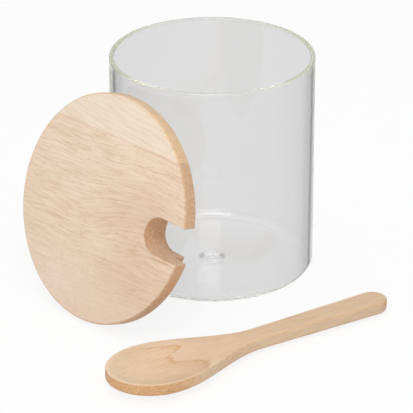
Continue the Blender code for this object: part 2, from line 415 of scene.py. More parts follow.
def glass_material(sizes):
    """Clear drawn glass: faint upright ripples, painted shade at a slant, yellow-green along deep paths."""
    material = bpy.data.materials.new("clear_glass")
    material.use_nodes = True
    tree = material.node_tree
    tree.nodes.clear()
    link = tree.links.new
    out = tree.nodes.new("ShaderNodeOutputMaterial")
    shader = add_node(tree, "ShaderNodeBsdfPrincipled", IOR=GLASS_IOR)
    slant = add_node(tree, "ShaderNodeLayerWeight", Blend=0.5)
    own = tree.nodes.new("ShaderNodeTexCoord").outputs["Object"]
    split = tree.nodes.new("ShaderNodeSeparateXYZ")
    link(own, split.inputs[0])
    # Painted shade: darker as the surface turns from the viewer, leaning along X, kept off the inner wall
    # and the foot
    leaning = math_node(tree, "MULTIPLY_ADD", split.outputs[0], SLANT_SHADE_LEAN, slant.outputs["Facing"])
    share = ramp(tree, leaning, SLANT_SHADE_STOPS)
    across = add_node(tree, "ShaderNodeVectorMath", operation="LENGTH")
    link(stretched(tree, own, (1.0, 1.0, 0.0)), across.inputs[0])
    inner = math_node(tree, "LESS_THAN", across.outputs["Value"], sizes.radius - sizes.wall / 2.0)
    foot = math_node(tree, "DIVIDE", split.outputs[2], FOOT_SPAN * sizes.outer_corner)
    foot = ramp(tree, foot, FOOT_STOPS)
    share = math_node(tree, "MAXIMUM", share, math_node(tree, "MAXIMUM", inner, foot))
    share = math_node(tree, "MULTIPLY", share, pip_shade(tree, split, across.outputs["Value"], sizes))
    below = math_node(tree, "SUBTRACT", sizes.height, split.outputs[2])
    lip = ramp(tree, math_node(tree, "DIVIDE", below, sizes.bead), LIP_STOPS)
    body = mix_colour(tree, share, sizes.painted_edge_shade, sizes.tint)
    beside = math_node(tree, "DIVIDE", math_node(tree, "ABSOLUTE", split.outputs[0]), sizes.radius)
    lip_colour = mix_colour(tree, ramp(tree, beside, LIP_SIDES), sizes.lip_grey, sizes.lip_tint)
    link(mix_colour(tree, lip, body, lip_colour), shader.inputs["Base Color"])
    link(math_node(tree, "MULTIPLY_ADD", lip, -sizes.lip_milk, 1.0), shader.inputs["Transmission Weight"])
    ripple = noise(tree, own, RIPPLE_SCALE, detail=2.0, roughness=0.5)
    link(math_node(tree, "MULTIPLY", ripple, sizes.haze), shader.inputs["Roughness"])
    bump = add_node(tree, "ShaderNodeBump", Strength=sizes.ripple, Distance=BUMP_DEPTH)
    link(ripple, bump.inputs["Height"])
    link(bump.outputs[0], shader.inputs["Normal"])
    shade = add_node(tree, "ShaderNodeBsdfTransparent", Color=GLASS_SHADOW)
    path = tree.nodes.new("ShaderNodeLightPath")
    both = tree.nodes.new("ShaderNodeMixShader")
    depth = add_node(tree, "ShaderNodeVolumeAbsorption", Density=sizes.depth_density)
    depth.inputs["Color"].default_value = (*sizes.depth_tint, 1.0)
    link(path.outputs["Is Shadow Ray"], both.inputs[0])
    link(shader.outputs[0], both.inputs[1])
    link(shade.outputs[0], both.inputs[2])
    link(both.outputs[0], out.inputs["Surface"])
    link(depth.outputs[0], out.inputs["Volume"])
    return material


def jar_profile(sizes):
    """From the centre of the foot, up the outside, over the lip's bead and down the inside."""
    bead = sizes.bead / 2.0
    inner = sizes.radius - sizes.wall
    foot = sizes.radius - sizes.outer_corner
    floor = inner - sizes.inner_corner
    points = [(0.0, 0.0), (foot / 2.0, 0.0)]
    points += arc((foot, sizes.outer_corner), sizes.outer_corner, -90.0, 0.0, CORNER_STEPS)
    points += arc((sizes.radius - bead, sizes.height - bead), bead, 0.0, 180.0, CORNER_STEPS)
    for share in np.linspace(0.0, 1.0, SWELL_STEPS + 1)[1:]:
        swell = (sizes.bead - sizes.wall) * (0.5 + 0.5 * math.cos(math.pi * share))
        points.append((inner - swell, sizes.height - bead - SWELL_LENGTH * sizes.bead * share))
    corner = (floor, sizes.base + sizes.inner_corner)
    points += arc(corner, sizes.inner_corner, 0.0, -90.0, CORNER_STEPS)
    points += pip_profile(sizes)
    return points


def pip_profile(sizes):
    """A small raised disc with soft shoulders at the middle of the floor."""
    points = []
    for share in np.linspace(PIP_REACH, 0.0, PIP_STEPS + 1):
        fall = min(max((share - PIP_FLAT) / PIP_SHOULDER, 0.0), 1.0)
        rise = 0.5 + 0.5 * math.cos(math.pi * fall)
        points.append((share * sizes.pip_radius, sizes.base + sizes.pip_height * rise))
    return points


class SUGARBOWL_OT_jar(bpy.types.Operator):
    """Turn the glass jar"""

    bl_idname = "sugar_bowl.jar"
    bl_label = "Glass Jar"

    def execute(self, context):
        sizes = context.scene.sugar_bowl_jar
        glass = glass_material(sizes)
        jar = turned_mesh("clear_jar", jar_profile(sizes), sizes.segments, glass)
        finish_mesh(jar.data, glass, JAR_SHARP)
        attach(jar, "jar")
        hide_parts("glass_jar")
        return {"FINISHED"}


# Wood: scales are cycles per millimetre, and stops are (level of the noise, tone) pairs

CROWD_SCALE = (0.03, 0.06, 0.06)
PORE_SHARPNESS = 6.0
STREAK_STOPS = ((0.44, 0.0), (0.68, 1.0))
BREAK_STOPS = ((0.36, 0.25), (0.62, 1.0))
FIBRE_LEVELS = (0.28, 0.5, 0.74)
DOT_SCALE = (0.7, 1.5, 1.5)
DOT_STOPS = ((0.3, (0.92, 0.90, 0.88)), (0.5, 1.0), (0.7, (1.06, 1.07, 1.09)))
SPECKLE_SCALE = (0.4, 1.3, 1.3)
SPECKLE_STOPS = ((0.3, 0.70), (0.5, 1.0), (0.7, 1.14))
FIBRE_ROUGHNESS = 0.16
PORE_ROUGHNESS = 0.15
FIBRE_HEIGHT = 0.6
WOOD_BUMP = 0.35
WOOD_SPECULAR = 0.35

# How a face counts as cut: the level of a side along the grain, which gives painted shade on the spoon's
# handle, and how fast tops and ends turn into it
SIDE_LEVEL = 0.3
TOP_FALL = 4.0
END_POWER = 1.5


def wood_space(tree, location, rotation):
    """Millimetres in the piece's own frame: X along the grain, Y across it, Z through it."""
    source = tree.nodes.new("ShaderNodeTexCoord")
    own = add_node(tree, "ShaderNodeMapping", "own frame", vector_type="TEXTURE")
    own.inputs["Location"].default_value = location
    own.inputs["Rotation"].default_value = rotation
    own.inputs["Scale"].default_value = (MM, MM, MM)
    tree.links.new(source.outputs["Object"], own.inputs["Vector"])
    return own.outputs[0]


def stretched(tree, space, scale, offset=(0.0, 0.0, 0.0)):
    """A space scaled and then moved."""
    node = add_node(tree, "ShaderNodeMapping", "stretch", vector_type="POINT")
    node.inputs["Scale"].default_value = scale
    node.inputs["Location"].default_value = offset
    tree.links.new(space, node.inputs["Vector"])
    return node.outputs[0]


def noise(tree, space, scale, offset=(0.0, 0.0, 0.0), detail=3.0, roughness=0.55):
    """The level of a noise whose grains are stretched by the scale."""
    node = add_node(tree, "ShaderNodeTexNoise", Scale=1.0, Detail=detail, Roughness=roughness)
    tree.links.new(stretched(tree, space, scale, offset), node.inputs["Vector"])
    return node.outputs[0]


def soft_spot(tree, space, centre, reach):
    """1 at a place on the face, falling smoothly to 0 at its reach along and across the grain."""
    scale = (1.0 / reach[0], 1.0 / reach[1], 0.0)
    offset = (-centre[0] / reach[0], -centre[1] / reach[1], 0.0)
    away = add_node(tree, "ShaderNodeVectorMath", operation="LENGTH")
    tree.links.new(stretched(tree, space, scale, offset), away.inputs[0])
    fade = add_node(tree, "ShaderNodeMapRange", interpolation_type="SMOOTHSTEP")
    tree.links.new(away.outputs["Value"], fade.inputs["Value"])
    fade.inputs["From Min"].default_value, fade.inputs["From Max"].default_value = 1.0, 0.0
    return fade.outputs[0]


def spots(tree, space, places):
    """The sum of several soft spots, each a (centre, reach, level) triple."""
    total = None
    for centre, reach, level in places:
        total = math_node(tree, "MULTIPLY_ADD", soft_spot(tree, space, centre, reach), level, total or 0.0)
    return total


def grain_space(tree, space, look):
    """The piece's frame with Y bent by swells and noise, so that lines of equal Y follow the grain."""
    split = tree.nodes.new("ShaderNodeSeparateXYZ")
    tree.links.new(space, split.inputs[0])
    across = math_node(tree, "MULTIPLY_ADD", split.outputs[0], look["slope"], split.outputs[1])
    if look["swells"]:
        across = math_node(tree, "SUBTRACT", across, spots(tree, space, look["swells"]))
    for size, scale in look["waves"]:
        wave = math_node(tree, "SUBTRACT", noise(tree, space, scale, look["seed"], detail=2.0), 0.5)
        across = math_node(tree, "MULTIPLY_ADD", wave, size, across)
    joined = tree.nodes.new("ShaderNodeCombineXYZ")
    for index, value in enumerate((split.outputs[0], across, split.outputs[2])):
        tree.links.new(value, joined.inputs[index])
    return joined.outputs[0]


def pores(tree, space, grain, look):
    """Short dark dashes along the grain, thicker in some places than in others."""
    cells = add_node(tree, "ShaderNodeTexVoronoi", Scale=1.0, Randomness=1.0)
    tree.links.new(stretched(tree, grain, look["pore_scale"], look["seed"]), cells.inputs["Vector"])
    crowd = noise(tree, space, CROWD_SCALE, look["seed"], detail=2.0)
    limit = math_node(tree, "MULTIPLY", crowd, look["pore_size"])
    depth = math_node(tree, "SUBTRACT", limit, cells.outputs["Distance"])
    return math_node(tree, "MULTIPLY", depth, PORE_SHARPNESS, clamp=True)


def shaded(colour_value, shade):
    """A colour times a shade, kept to 1 at most."""
    return tuple(min(part * level, 1.0) for part, level in zip(colour_value, shade))


def wood_colour(tree, base, look, space, grain, dashes):
    """Streaks, fibres and pores on the base colour, calm places, and patches of another tone."""
    streaks = noise(tree, grain, look["streak_scale"], look["seed"], detail=4.0, roughness=0.6)
    breaks = noise(tree, grain, look["break_scale"], look["seed"], detail=2.0)
    dark = ramp(tree, streaks, STREAK_STOPS)
    dark = math_node(tree, "MULTIPLY", dark, ramp(tree, breaks, BREAK_STOPS))
    depth = look["streak_depth"]
    if look["streaky"]:
        depth = math_node(tree, "ADD", spots(tree, space, look["streaky"]), depth, clamp=True)
    tint = mix_colour(tree, math_node(tree, "MULTIPLY", dark, depth), base, shaded(base, look["late"]))
    fibres = noise(tree, grain, look["fibre_scale"], look["seed"], detail=3.0, roughness=0.6)
    tones = (look["fibre_dark"], 1.0, look["fibre_light"])
    light = ramp(tree, fibres, tuple(zip(FIBRE_LEVELS, tones)))
    tint = mix_colour(tree, 1.0, tint, light, "MULTIPLY")
    if look["calm"]:
        calm = spots(tree, space, look["calm"])
        dots = noise(tree, space, DOT_SCALE, look["seed"], detail=2.0, roughness=0.7)
        dotted = mix_colour(tree, 1.0, ramp(tree, dots, DOT_STOPS), base, "MULTIPLY")
        tint = mix_colour(tree, calm, tint, dotted)
        dashes = math_node(tree, "MULTIPLY", dashes, math_node(tree, "MULTIPLY_ADD", calm, -1.0, 1.0))
    for centre, reach, shade in look["patches"]:
        other = mix_colour(tree, 1.0, tint, shade, "MULTIPLY")
        tint = mix_colour(tree, soft_spot(tree, space, centre, reach), tint, other)
    pore = mix_colour(tree, 1.0, tint, look["pore"], "MULTIPLY")
    return mix_colour(tree, math_node(tree, "MULTIPLY", dashes, look["pore_depth"]), tint, pore), fibres


def face_value(tree, name):
    """A number that is stored on each face of the mesh."""
    return add_node(tree, "ShaderNodeAttribute", attribute_name=name).outputs["Fac"]


def store_on_faces(mesh, name, values):
    mesh.attributes.new(name, "FLOAT", "FACE").data.foreach_set("value", values)


def wood_material(name, base, look, location, rotation, figure=None):
    """Pale wood: streaks, fibres, pores and patches of tone, darker and speckled where the grain ends, with
    a side tone that is painted shade on the spoon's handle.
    """
    material = bpy.data.materials.new(name)
    material.use_nodes = True
    tree = material.node_tree
    shader = tree.nodes["Principled BSDF"]
    space = wood_space(tree, location, rotation)
    grain = grain_space(tree, space, look)
    dashes = pores(tree, space, grain, look)
    tint, fibres = wood_colour(tree, base, look, space, grain, dashes)
    if figure:
        tint = figure(tree, space, tint)
    speckle = noise(tree, space, SPECKLE_SCALE, look["seed"], detail=3.0, roughness=0.7)
    speckle = ramp(tree, speckle, SPECKLE_STOPS)
    # The stored cut level darkens real end grain at the ends and the lid's rim, and paints shade on the
    # spoon handle's sides
    cut = face_value(tree, "end_grain")
    shade = ramp(tree, cut, ((0.0, 1.0), (SIDE_LEVEL, look["side"]), (1.0, look["end"])))
    tint = mix_colour(tree, 1.0, tint, shade, "MULTIPLY")
    tint = mix_colour(tree, cut, tint, mix_colour(tree, 1.0, tint, speckle, "MULTIPLY"))
    tree.links.new(tint, shader.inputs["Base Color"])
    rough = math_node(tree, "MULTIPLY_ADD", fibres, FIBRE_ROUGHNESS, look["roughness"])
    rough = math_node(tree, "MULTIPLY_ADD", dashes, PORE_ROUGHNESS, rough, clamp=True)
    tree.links.new(rough, shader.inputs["Roughness"])
    raised = math_node(tree, "MULTIPLY", fibres, FIBRE_HEIGHT)
    height = math_node(tree, "MULTIPLY_ADD", dashes, -1.0, raised)
    bump = add_node(tree, "ShaderNodeBump", Strength=WOOD_BUMP, Distance=BUMP_DEPTH)
    tree.links.new(height, bump.inputs["Height"])
    tree.links.new(bump.outputs[0], shader.inputs["Normal"])
    shader.inputs["Specular IOR Level"].default_value = WOOD_SPECULAR
    return material


def mark_end_grain_and_side_shade(mesh, side_share):
    """Store how far each face is a cut side: 0 on the broad faces, 1 where it ends the grain.

    The mesh lies in its own frame, X along the grain and Z through it. The side share is what a side along
    the grain gets, as a function of the place along it; on the spoon's handle that side level is painted
    shade.
    """
    values = []
    for face in mesh.polygons:
        side = side_share(face.center.x)
        ends = abs(face.normal.x) ** END_POWER
        upright = min(TOP_FALL * (1.0 - abs(face.normal.z)), 1.0)
        values.append(upright * (side + (1.0 - side) * ends))
    store_on_faces(mesh, "end_grain", values)


# The three woods. A spot is (centre, reach, amount), with centre and reach in millimetres along and across
MAIN_LOOK = {
    "seed": (3.1, 7.7, 1.3), "slope": -0.03,
    "swells": (((28.0, 2.0), (46.0, 28.0), 8.0), ((14.0, -60.0), (26.0, 24.0), 9.0)),
    "waves": ((6.0, (0.02, 0.035, 0.035)), (1.6, (0.09, 0.25, 0.25))),
    "streak_scale": (0.045, 0.75, 0.75), "streak_depth": 0.5, "late": (0.835, 0.72, 0.61),
    "break_scale": (0.07, 0.3, 0.3),
    "streaky": (((-28.0, 27.0), (34.0, 12.0), 0.4), ((-22.0, -8.0), (36.0, 18.0), 0.3)),
    "fibre_scale": (0.08, 1.25, 1.25), "fibre_dark": (0.86, 0.79, 0.70), "fibre_light": (1.05, 1.08, 1.13),
    "calm": (((-8.0, -43.0), (58.0, 36.0), 0.95),),
    "patches": (
        ((-10.0, -62.0), (95.0, 70.0), (0.935, 0.915, 0.915)),
        ((36.0, -26.0), (42.0, 26.0), (0.91, 0.87, 0.83)),
        ((22.0, 2.0), (36.0, 26.0), (0.905, 0.865, 0.835)),
        ((42.0, 18.0), (26.0, 20.0), (0.97, 0.96, 0.95)),
        ((-25.0, 22.0), (52.0, 28.0), (1.0, 1.025, 1.05)),
        ((-26.0, -41.0), (30.0, 20.0), (1.025, 1.06, 1.09)),
        ((44.0, -11.9), (15.0, 0.9), (0.78, 0.66, 0.55)),
    ),
    "pore_scale": (0.2, 1.6, 1.6), "pore_size": 0.50, "pore_depth": 0.5, "pore": (0.66, 0.50, 0.40),
    "side": (0.918, 0.876, 0.84), "end": (0.80, 0.645, 0.51), "roughness": 0.48,
}
UPPER_LOOK = dict(
    MAIN_LOOK, seed=(11.9, 2.3, 5.1), slope=0.12, swells=(), waves=((3.0, (0.02, 0.04, 0.04)),), streaky=(),
    calm=(), patches=(), streak_depth=0.55, late=(0.87, 0.80, 0.71), pore_size=0.34, pore_depth=0.3,
    fibre_dark=(0.91, 0.86, 0.79), fibre_light=(1.03, 1.05, 1.08), side=(0.964, 0.91, 0.843),
    end=(0.88, 0.70, 0.475),
)
SPOON_LOOK = dict(
    MAIN_LOOK, seed=(21.3, 4.9, 9.2), slope=0.0, swells=(),
    waves=((4.0, (0.012, 0.03, 0.03)), (0.35, (0.05, 0.2, 0.2))), streaky=(), calm=(), streak_depth=0.32,
    patches=(
        ((120.0, 0.0), (85.0, 60.0), (0.925, 0.925, 0.925)),
        ((5.0, 0.0), (26.0, 40.0), (1.05, 1.12, 1.18)),
        ((47.0, -17.0), (18.0, 9.0), (0.98, 1.05, 1.12)),
        ((156.0, 0.0), (28.0, 40.0), (0.93, 0.93, 0.92)),
    ),
    late=(0.86, 0.76, 0.64), fibre_dark=(0.90, 0.84, 0.76), fibre_light=(1.04, 1.06, 1.09), pore_size=0.34,
    # The spoon's side tone is painted shade on its sides along the grain
    pore_depth=0.35, side=(0.87, 0.875, 0.89), end=(0.77, 0.585, 0.405),
)


# Lid: steps along its rounds, cut level of the boards' sides, and the sharp edges' turn in degrees

ROUND_STEPS = 6
NOTCH_STEPS = 40
BOARD_SIDE = 0.6
LID_SHARP = 25.0


def lid_profile(radius, plug_radius, sizes):
    """From the top face's edge, round the flange and the plug to the underside's edge."""
    thickness = sizes.flange + sizes.plug
    rim, plug_rim, ease = radius - sizes.ease, plug_radius - sizes.ease, sizes.ease
    points = arc((rim, -ease), ease, 90.0, 0.0, ROUND_STEPS)
    points += arc((rim, ease - sizes.flange), ease, 0.0, -90.0, ROUND_STEPS)
    points += [(plug_radius, -sizes.flange)]
    points += arc((plug_rim, ease - thickness), ease, 0.0, -90.0, ROUND_STEPS)
    return points


def lid_blank(radius, plug_radius, sizes, material):
    """The turned lid before it is notched, with plain flat faces."""
    profile = lid_profile(radius, plug_radius, sizes)
    blank = turned_mesh("lid_blank", profile, sizes.segments, material)
    outward(blank.data, fill_holes=True)
    return blank


def notch_outline(radius, sizes, grow):
    """U outline of the notch, grown by the rounding of its edges, open past the rim."""
    half = sizes.notch_width / 2.0
    centre = radius - sizes.notch_depth + half
    outline = [(radius + sizes.notch_width, half + grow)]
    outline += arc((centre, 0.0), half + grow, 90.0, 270.0, NOTCH_STEPS)
    outline += [(radius + sizes.notch_width, -half - grow)]
    return outline


def notch_cutter(radius, sizes):
    """A U-shaped plug that flares at both faces, so that what it cuts has rounded edges."""
    ease, thickness = sizes.notch_ease, sizes.flange + sizes.plug
    levels = [(sizes.flange, ease)]
    for turn in np.linspace(0.0, math.pi / 2.0, ROUND_STEPS + 1):
        levels.append((-ease * (1.0 - math.cos(turn)), ease * (1.0 - math.sin(turn))))
    levels += [(-thickness - height, grow) for height, grow in reversed(levels)]
    body = bmesh.new()
    rings = []
    for height, grow in levels:
        outline = notch_outline(radius, sizes, grow)
        rise = -height * math.tan(sizes.notch_tilt)
        rings.append([body.verts.new((x, y + rise, height)) for x, y in outline])
    skin_rings(body, rings)
    cutter = new_object("notch_cutter", closed_mesh("notch_cutter", body))
    cutter.rotation_euler = (0.0, 0.0, sizes.notch_angle)
    return cutter


def skin_rings(body, rings):
    """Join rings of equal count with quads and close both ends."""
    for ring, following in zip(rings, rings[1:]):
        for index in range(len(ring)):
            after = (index + 1) % len(ring)
            body.faces.new((ring[index], ring[after], following[after], following[index]))
    body.faces.new(rings[0])
    body.faces.new(rings[-1])


def lean_reach(depth, radius, centre_height, jar, sizes):
    """How far a back edge of the leaning lid stands behind the lid's centre where it meets the jar."""
    top = jar.height - jar.wall
    along = (top - centre_height + depth * math.sin(sizes.lean)) / math.cos(sizes.lean)
    return depth * math.cos(sizes.lean) + min(radius, along) * math.sin(sizes.lean)


def lid_place(radius, plug_radius, jar, sizes):
    """Centre of the lid's top face: flange on the table, plug against the jar's wall."""
    up = (radius - sizes.ease) * math.cos(sizes.lean)
    back = (sizes.flange - sizes.ease) * math.sin(sizes.lean)
    height = up + back + sizes.ease + sizes.rest_gap
    plug = lean_reach(sizes.flange + sizes.plug, plug_radius, height, jar, sizes)
    flange = lean_reach(sizes.flange, radius, height, jar, sizes)
    away = jar.radius + sizes.rest_gap + max(plug, flange)
    x = away * math.sin(sizes.turn) + sizes.shift * math.cos(sizes.turn)
    y = -away * math.cos(sizes.turn) + sizes.shift * math.sin(sizes.turn)
    return (x, y, height)


def cut_board(name, blank, cut_line, is_upper):
    """One board of the lid: the part of the blank on one side of the glue line."""
    body = bmesh.new()
    body.from_mesh(blank)
    bmesh.ops.bisect_plane(
        body, geom=body.verts[:] + body.edges[:] + body.faces[:], dist=WELD,
        plane_co=(0.0, cut_line, 0.0), plane_no=(0.0, 1.0, 0.0),
        clear_inner=is_upper, clear_outer=not is_upper,
    )
    bmesh.ops.contextual_create(body, geom=open_edges(body))
    return closed_mesh(name, body)


class SUGARBOWL_OT_lid(bpy.types.Operator):
    """Turn, notch and split the two-board lid"""

    bl_idname = "sugar_bowl.lid"
    bl_label = "Wooden Lid"

    def execute(self, context):
        sizes, jar = context.scene.sugar_bowl_lid, context.scene.sugar_bowl_jar
        radius = jar.radius + sizes.overhang
        plug_radius = jar.radius - jar.wall - sizes.clearance
        centre = lid_place(radius, plug_radius, jar, sizes)
        rotation = (math.pi / 2.0 - sizes.lean, 0.0, sizes.turn)
        cream = wood_material("cream_board_wood", sizes.cream, UPPER_LOOK, centre, rotation)
        pink = wood_material("pink_board_wood", sizes.pink, MAIN_LOOK, centre, rotation)
        blank = lid_blank(radius, plug_radius, sizes, pink)
        cutter = notch_cutter(radius, sizes)
        cut = blank.modifiers.new("notch", "BOOLEAN")
        cut.operation, cut.solver, cut.object = "DIFFERENCE", "EXACT", cutter
        notched = bake_modifiers(blank)
        glue_line = radius - sizes.upper_width
        pose = Matrix.Translation(centre) @ Euler(rotation).to_matrix().to_4x4()
        half = sizes.glue / 2.0
        boards = (
            ("cream_board", cream, glue_line + half, True, "lid_upper_board", "upper_board_wood"),
            ("pink_board", pink, glue_line - half, False, "lid_main_board", "main_board_wood"),
        )
        for name, wood, line, is_upper, node, slot in boards:
            mesh = cut_board(name, notched, line, is_upper)
            mark_end_grain_and_side_shade(mesh, lambda _x: BOARD_SIDE)
            mesh.transform(pose)
            finish_mesh(mesh, wood, LID_SHARP)
            board = new_object(name, mesh)
            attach(board, "lid")
            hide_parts(node)
        bpy.data.objects.remove(blank)
        bpy.data.objects.remove(cutter)
        return {"FINISHED"}


# Spoon: points round a section, stations along it, shares that soften its curves, and turns in degrees

TOP_POINTS = 33
EDGE_POINTS = 6
UNDER_POINTS = 29
EDGE_TURN = 75.0
WIDEST_EASE = 0.6
DISH_SOFT = 0.05
TIP_STATIONS = 29
BODY_STATIONS = 74
CORNER_STATIONS = 11
END_STATIONS = 6
SPOON_SHARP = 50.0

# Cut level of the handle's sides, which gives painted shade there, and of the tip's sides, and where tones
# and the ridge's painted shade change, in lengths of tip to widest
HANDLE_SIDE_SHADE = 0.28
TIP_SIDE = 0.95
TIP_SIDE_REACH = (1.8, 0.7)
RIDGE_REACH = (2.4, 3.2)
RIDGE_SLOPE = (0.25, 0.9)


def smooth_step(start, end, value):
    """0 at the start, 1 at the end and level at both."""
    share = min(max((value - start) / (end - start), 0.0), 1.0)
    return share * share * (3.0 - 2.0 * share)


def quarter_round(reach, distance):
    """Rises from 0 at distance 0 to 1 at the reach, as a quarter of an ellipse does."""
    short = min(max(1.0 - distance / reach, 0.0), 1.0)
    return math.sqrt(1.0 - short * short)


def spoon_half_width(x, sizes):
    """Oval bowl, slim neck, and a handle that widens to an end with rounded corners."""
    if x <= sizes.bowl_widest:
        return sizes.bowl_width / 2.0 * quarter_round(sizes.bowl_widest, x)
    share = max(x - sizes.neck_start, 0.0) / (sizes.spoon_length - sizes.neck_start)
    handle = (sizes.neck_width + (sizes.handle_width - sizes.neck_width) * share) / 2.0
    to_neck = smooth_step(sizes.bowl_widest, sizes.neck_start, x)
    width = sizes.bowl_width / 2.0 * (1.0 - to_neck) + handle * to_neck
    past = x - (sizes.spoon_length - sizes.handle_corner)
    if past > 0.0:
        width -= sizes.handle_corner - math.sqrt(max(sizes.handle_corner ** 2 - past ** 2, 0.0))
    return width


def dish_drop(x, y, sizes):
    """Depth of the bowl's dish below the top plane, with a soft edge."""
    half_width = sizes.bowl_width / 2.0 - sizes.dish_rim
    half_length = (sizes.dish_end - sizes.dish_rim) / 2.0
    middle = sizes.dish_rim + half_length
    inside = 1.0 - ((x - middle) / half_length) ** 2 - (y / half_width) ** 2
    return sizes.dish_depth * 0.5 * (inside + math.hypot(inside, DISH_SOFT))


def spoon_section(x, inset, sizes):
    """One ring round the spoon: dished top, rounded edges, straight sides, round underside.

    The ring is thinned towards the handle's end, so that the underside rises there.
    """
    to_neck = smooth_step(sizes.bowl_widest, sizes.neck_start, x)
    half = max(spoon_half_width(x, sizes) - inset, 0.0)
    side = sizes.bowl_edge * (1.0 - to_neck) + sizes.handle_side * to_neck
    depth = sizes.bowl_height * (1.0 - to_neck) + sizes.handle_thickness * to_neck
    if x < sizes.bowl_widest:
        rise = quarter_round(sizes.bowl_widest, x)
        depth = sizes.bowl_edge + (sizes.bowl_height - sizes.bowl_edge) * rise
    side, depth = side - inset, depth - inset
    ease = sizes.bowl_ease * (1.0 - to_neck) + sizes.handle_ease * to_neck
    ease = min(ease, half * WIDEST_EASE)
    flat = half - ease
    ring = []
    for share in np.linspace(-1.0, 1.0, TOP_POINTS):
        y = share * flat
        ring.append((x, y, -inset - dish_drop(x, y, sizes)))
    edge = -inset - dish_drop(x, flat, sizes)
    edge_turns = np.radians(np.linspace(EDGE_TURN, 0.0, EDGE_POINTS))
    for turn in edge_turns:
        ring.append((x, flat + ease * math.cos(turn), edge - ease * (1.0 - math.sin(turn))))
    for turn in np.linspace(0.0, math.pi, UNDER_POINTS):
        ring.append((x, half * math.cos(turn), -side - (depth - side) * math.sin(turn)))
    for turn in edge_turns[::-1]:
        ring.append((x, -flat - ease * math.cos(turn), edge - ease * (1.0 - math.sin(turn))))
    to_end = quarter_round(sizes.handle_corner, sizes.spoon_length - x)
    thinned = 1.0 - sizes.end_rise * (1.0 - to_end)
    return [(x, y, z * thinned) for x, y, z in ring]


def spoon_stations(sizes):
    """(place along the spoon, inset) pairs, packed closer at the tip and the handle's end."""
    quarter = math.pi / 2.0
    corner = sizes.spoon_length - sizes.handle_corner
    rounding = sizes.spoon_length - sizes.end_round
    tip = [sizes.bowl_widest * (1.0 - math.cos(turn)) for turn in np.linspace(0.0, quarter, TIP_STATIONS)]
    body = list(np.linspace(sizes.bowl_widest, corner, BODY_STATIONS))[1:]
    turns = np.linspace(0.0, quarter, CORNER_STATIONS)[1:]
    end = [corner + (rounding - corner) * math.sin(turn) for turn in turns]
    stations = [(x, 0.0) for x in tip + body + end]
    for turn in np.linspace(0.0, quarter, END_STATIONS)[1:]:
        inset = sizes.end_round * (1.0 - math.cos(turn))
        stations.append((rounding + sizes.end_round * math.sin(turn), inset))
    return stations


def spoon_pose(sizes):
    """The spoon rests on its bowl and on the handle's underside, where its end begins to rise."""
    span = sizes.spoon_length - sizes.handle_corner - sizes.bowl_widest
    pitch = math.atan2(sizes.bowl_height - sizes.handle_thickness, span)
    lift = sizes.bowl_widest * math.sin(pitch) + sizes.bowl_height * math.cos(pitch)
    location = (sizes.tip_x, sizes.tip_y, lift + sizes.rest_gap)
    return location, (0.0, pitch, sizes.turn)


# The vein across the bowl: (across, along) points in millimetres, and the curve's full height
VEIN = (
    (-24.0, 33.0), (-14.0, 44.0), (-5.0, 45.0), (-2.0, 41.0), (7.0, 37.0), (10.0, 43.0), (13.0, 41.0),
    (16.0, 33.0), (21.0, 12.0),
)
VEIN_SPAN = 100.0

# How far the vein strays and how wide its ramps are, in millimetres, and its tones
STRAY = 10.0
STRAY_SCALE = (0.05, 0.5, 0.5)
STRAY_SEED = (4.0, 1.0, 2.0)
RAMP_WIDTH = 20.0
BROWN_STOPS = ((0.0, 0.0), (0.3, 0.2), (0.42, 0.6), (0.5, 1.0), (0.56, 0.0))
PALE_STOPS = ((0.5, 0.0), (0.56, 1.0))
FEATHER_SCALE = (0.04, 1.1, 1.1)
FEATHER_SEED = (8.0, 3.0, 5.0)
FEATHER_STOPS = ((0.35, 0.45), (0.6, 1.0))
TOP_STOPS = ((0.12, 1.0), (0.28, 0.0))
PALE_CENTRE = (36.0, 4.0)
PALE_REACH = (27.0, 26.0)
PALE_DEPTH = 0.8
PALE_WOOD = (0.775, 0.575, 0.415)
BROWN_WOOD = (0.65, 0.38, 0.185)
# Painted shade, yellowed, on the handle's rounded top edges
RIDGE_SHADE_TINT = (1.02, 0.96, 0.79)


def spoon_side(share):
    """Cut level of a side along the grain: high round the tip, where it is end grain, low along the handle,
    where the side tone is painted shade.
    """
    return HANDLE_SIDE_SHADE + (TIP_SIDE - HANDLE_SIDE_SHADE) * smooth_step(*TIP_SIDE_REACH, share)


def mark_ridge(mesh, widest):
    """Store where the handle's rounded top edges are, which take painted shade."""
    low, high = RIDGE_SLOPE
    values = []
    for face in mesh.polygons:
        along = smooth_step(*RIDGE_REACH, face.center.x / widest)
        values.append(along if low < face.normal.z < high else 0.0)
    store_on_faces(mesh, "ridge", values)


